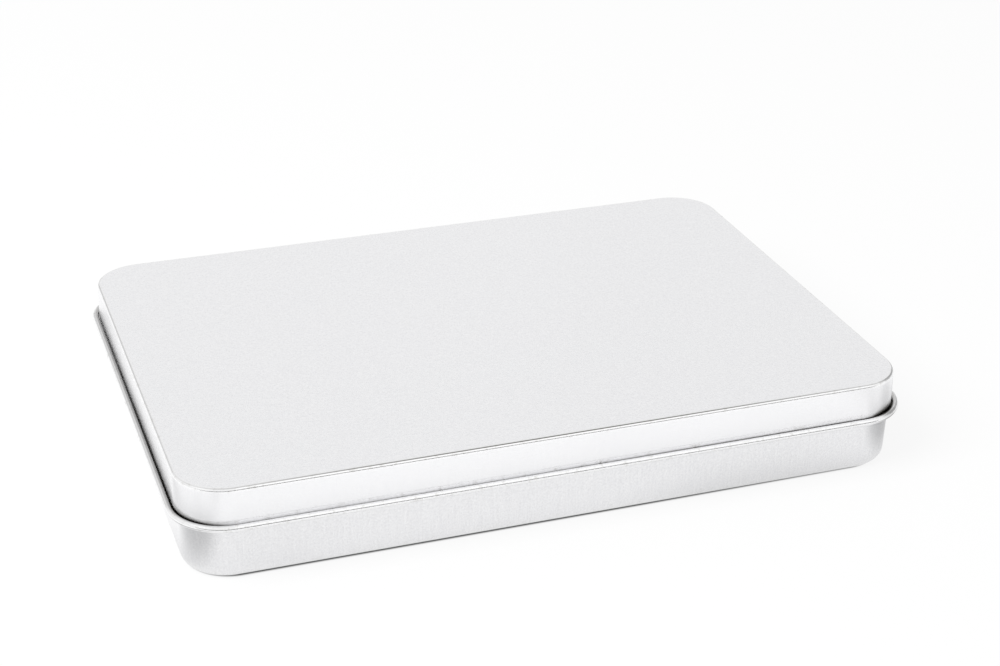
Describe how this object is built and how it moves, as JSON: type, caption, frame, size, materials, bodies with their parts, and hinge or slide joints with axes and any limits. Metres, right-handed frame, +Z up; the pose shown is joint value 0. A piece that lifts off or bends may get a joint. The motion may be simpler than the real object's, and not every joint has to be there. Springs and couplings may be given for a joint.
{
  "type": "metal tin",
  "caption": "Flat rectangular tinplate box with round corners and a lift-off slip lid that stops on a rolled bead round the base.",
  "frame": {"origin": "middle of the flat underside that the tin stands on", "axes": "+X along the length, +Y towards the back, +Z up, the way the lid lifts"},
  "size_m": [0.1936, 0.1386, 0.0252],
  "materials": {
    "tinplate": "matte stone finish, uncoated"
  },
  "bodies": {
    "base": {"base": "tinplate"},
    "lid": {"lid": "tinplate"}
  },
  "joints": [
    {"name": "lid_lift", "type": "slide", "parent": "base", "child": "lid", "axis": [0, 0, 1], "range_m": [0, 0.045]}
  ]
}
